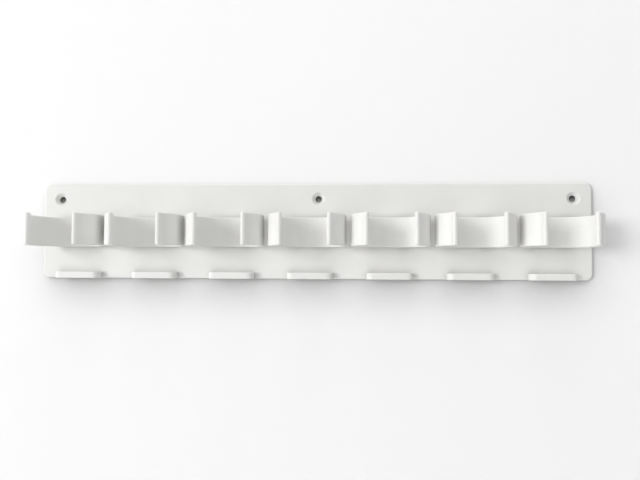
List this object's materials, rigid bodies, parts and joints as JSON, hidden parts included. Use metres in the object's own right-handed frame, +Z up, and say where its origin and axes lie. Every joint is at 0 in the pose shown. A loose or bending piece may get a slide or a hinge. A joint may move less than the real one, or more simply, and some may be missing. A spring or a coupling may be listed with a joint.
{
  "type": "door-mounted spice rack",
  "caption": "Flat moulded strip with a row of open C-shaped jar clips, small ledges along its bottom edge and countersunk screw holes, for the inside of a cupboard door.",
  "frame": {"origin": "centre of the plate's flat back face, where it lies against the door", "axes": "+X along the rack's length, to the right as seen from the front; +Y into the door; +Z up. Everything stands forward of the back face, towards -Y"},
  "size_m": [0.379, 0.0513, 0.066],
  "materials": {
    "white_plastic": "satin moulded surface, off-white"
  },
  "bodies": {
    "root": {"rack": "white_plastic"}
  },
  "joints": []
}
